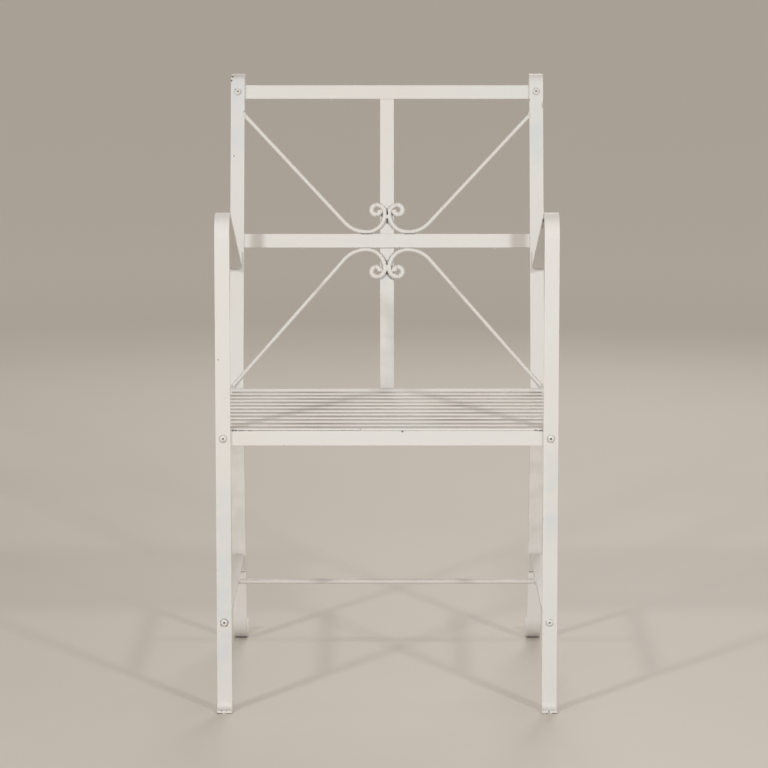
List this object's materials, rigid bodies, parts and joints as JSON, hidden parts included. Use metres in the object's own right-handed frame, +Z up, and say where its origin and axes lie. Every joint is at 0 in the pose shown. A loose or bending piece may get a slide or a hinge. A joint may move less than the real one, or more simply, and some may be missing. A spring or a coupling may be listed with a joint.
{
  "type": "garden armchair",
  "caption": "Open garden armchair of bent flat bar: slatted seat, leaning back with scrolled rods, sloping armrests, curled feet and bolted stretchers.",
  "frame": {"origin": "on the floor, under the middle of the chair, halfway between the tips of its front toes and the tips of its rear feet", "axes": "+X to the right as seen from the front, +Y from the front of the seat towards the back, +Z up"},
  "size_m": [0.5, 0.5632, 0.9082],
  "materials": {
    "painted_bars": "satin off-white paint on iron flat bar",
    "painted_slats": "satin off-white paint on thin iron flat bar",
    "painted_rods": "satin off-white paint on round iron rod",
    "painted_fasteners": "off-white paint, worn, on steel screws, washers and nuts"
  },
  "bodies": {
    "root": {"arm_bolts": "painted_fasteners", "arm_nuts": "painted_fasteners", "arm_washers": "painted_fasteners", "centre_back_strip": "painted_bars", "cross_stretcher_rod": "painted_rods", "front_seat_rail": "painted_bars", "left_back_post": "painted_bars", "left_leg_and_arm": "painted_bars", "left_seat_side_rail": "painted_bars", "left_side_stretcher": "painted_bars", "lower_left_scroll_rod": "painted_rods", "lower_right_scroll_rod": "painted_rods", "middle_back_rail": "painted_bars", "rear_seat_rail": "painted_bars", "right_back_post": "painted_bars", "right_leg_and_arm": "painted_bars", "right_seat_side_rail": "painted_bars", "right_side_stretcher": "painted_bars", "seat_front_bolts": "painted_fasteners", "seat_front_nuts": "painted_fasteners", "seat_front_washers": "painted_fasteners", "seat_rear_bolts": "painted_fasteners", "seat_rear_nuts": "painted_fasteners", "seat_rear_washers": "painted_fasteners", "seat_slat_01": "painted_slats", "seat_slat_02": "painted_slats", "seat_slat_03": "painted_slats", "seat_slat_04": "painted_slats", "seat_slat_05": "painted_slats", "seat_slat_06": "painted_slats", "seat_slat_07": "painted_slats", "seat_slat_08": "painted_slats", "seat_slat_09": "painted_slats", "seat_slat_10": "painted_slats", "seat_slat_11": "painted_slats", "stretcher_front_bolts": "painted_fasteners", "stretcher_front_nuts": "painted_fasteners", "stretcher_front_washers": "painted_fasteners", "stretcher_rear_bolts": "painted_fasteners", "stretcher_rear_nuts": "painted_fasteners", "stretcher_rear_washers": "painted_fasteners", "top_back_rail": "painted_bars", "top_rail_bolts": "painted_fasteners", "top_rail_nuts": "painted_fasteners", "top_rail_washers": "painted_fasteners", "upper_left_scroll_rod": "painted_rods", "upper_right_scroll_rod": "painted_rods"}
  },
  "joints": []
}
